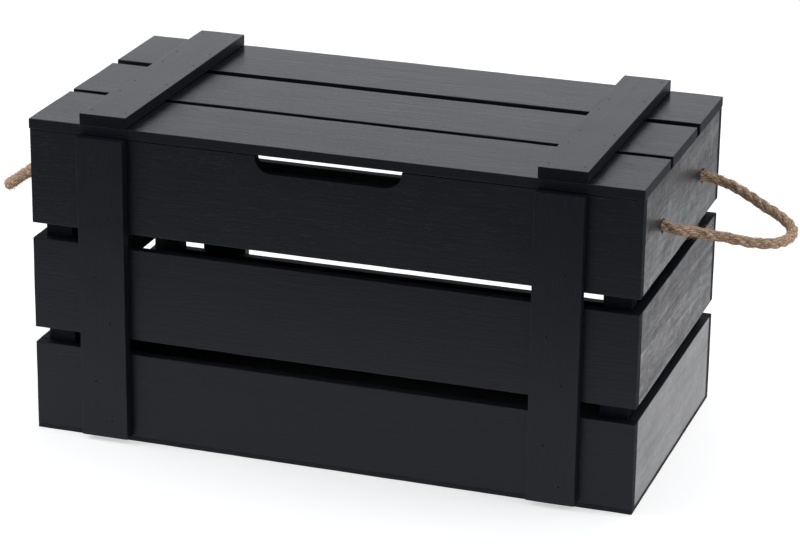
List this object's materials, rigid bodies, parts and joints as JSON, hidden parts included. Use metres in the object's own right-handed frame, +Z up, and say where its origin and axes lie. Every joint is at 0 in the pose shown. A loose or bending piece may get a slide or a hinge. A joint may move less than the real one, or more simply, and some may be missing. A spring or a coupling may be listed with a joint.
{
  "type": "kindling box",
  "caption": "Slatted wooden kindling box with a thin wooden floor, a loose lift-off board lid, a finger notch in the front and a rope loop handle at each end.",
  "frame": {"origin": "on the floor, under the middle of the box", "axes": "+X along the box to its right end, +Y to the back, +Z up; the front with the finger notch faces -Y"},
  "size_m": [0.7985, 0.324, 0.3265],
  "materials": {
    "black_stained_wood": "thin black stain on sawn softwood, satin on the planed faces and rough and worn to grey on the sawn ones",
    "inner_wood": "the same stain, dull, on the posts and the floor panel",
    "jute_rope": "natural twisted jute, matt, with loose hairs"
  },
  "bodies": {
    "box": {"front_slat_bottom": "black_stained_wood", "front_slat_middle": "black_stained_wood", "front_slat_top": "black_stained_wood", "back_slat_bottom": "black_stained_wood", "back_slat_middle": "black_stained_wood", "back_slat_top": "black_stained_wood", "left_end_board_bottom": "black_stained_wood", "left_end_board_middle": "black_stained_wood", "left_end_board_top": "black_stained_wood", "right_end_board_bottom": "black_stained_wood", "right_end_board_middle": "black_stained_wood", "right_end_board_top": "black_stained_wood", "front_batten_left": "black_stained_wood", "front_batten_right": "black_stained_wood", "back_batten_left": "black_stained_wood", "back_batten_right": "black_stained_wood", "corner_post_front_left": "inner_wood", "corner_post_front_right": "inner_wood", "corner_post_back_left": "inner_wood", "corner_post_back_right": "inner_wood", "bottom_panel": "inner_wood", "rope_end_left_front": "jute_rope", "rope_end_left_back": "jute_rope", "rope_end_right_front": "jute_rope", "rope_end_right_back": "jute_rope"},
    "lid": {"lid_board_front": "black_stained_wood", "lid_board_middle": "black_stained_wood", "lid_board_back": "black_stained_wood", "lid_batten_left": "black_stained_wood", "lid_batten_right": "black_stained_wood"},
    "left_handle": {"rope_handle_left": "jute_rope"},
    "right_handle": {"rope_handle_right": "jute_rope"}
  },
  "joints": [
    {"name": "lid_lift", "type": "slide", "parent": "box", "child": "lid", "axis": [0, 0, 1], "range_m": [0, 0.16]},
    {"name": "left_handle_swing", "type": "hinge", "parent": "box", "child": "left_handle", "pos_m": [-0.3041, 0, 0.25743], "axis": [0, -1, 0], "range_deg": [-116, 54]},
    {"name": "right_handle_swing", "type": "hinge", "parent": "box", "child": "right_handle", "pos_m": [0.3041, 0, 0.25743], "axis": [0, 1, 0], "range_deg": [-92, 78]}
  ]
}
